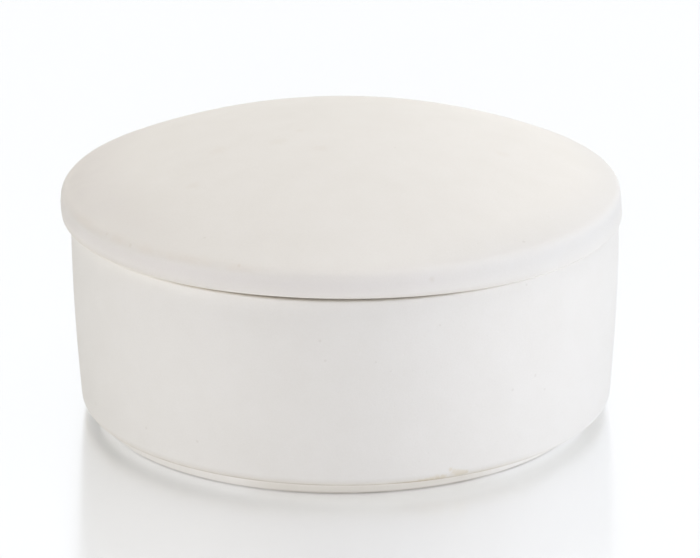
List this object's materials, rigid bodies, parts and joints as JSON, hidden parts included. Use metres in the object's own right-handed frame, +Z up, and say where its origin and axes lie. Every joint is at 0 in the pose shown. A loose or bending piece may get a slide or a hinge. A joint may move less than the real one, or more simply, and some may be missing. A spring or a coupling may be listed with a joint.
{
  "type": "lidded box",
  "caption": "Round white bisque box with a gently swelling wall on a foot ring and a low domed lid whose flange drops into the mouth; holds small things.",
  "frame": {"origin": "centre of the bowl's foot ring, on the table", "axes": "+Z up along the axis of the bowl, -Y towards the picture's camera, +X to its right"},
  "size_m": [0.1401, 0.14, 0.0742],
  "materials": {
    "bowl_clay": "matte unglazed white bisque",
    "lid_clay": "matte unglazed white bisque"
  },
  "bodies": {
    "bowl": {"bowl": "bowl_clay"},
    "lid": {"lid": "lid_clay"}
  },
  "joints": [
    {"name": "lid_lift", "type": "slide", "parent": "bowl", "child": "lid", "axis": [0, 0, 1], "range_m": [0, 0.1]}
  ]
}
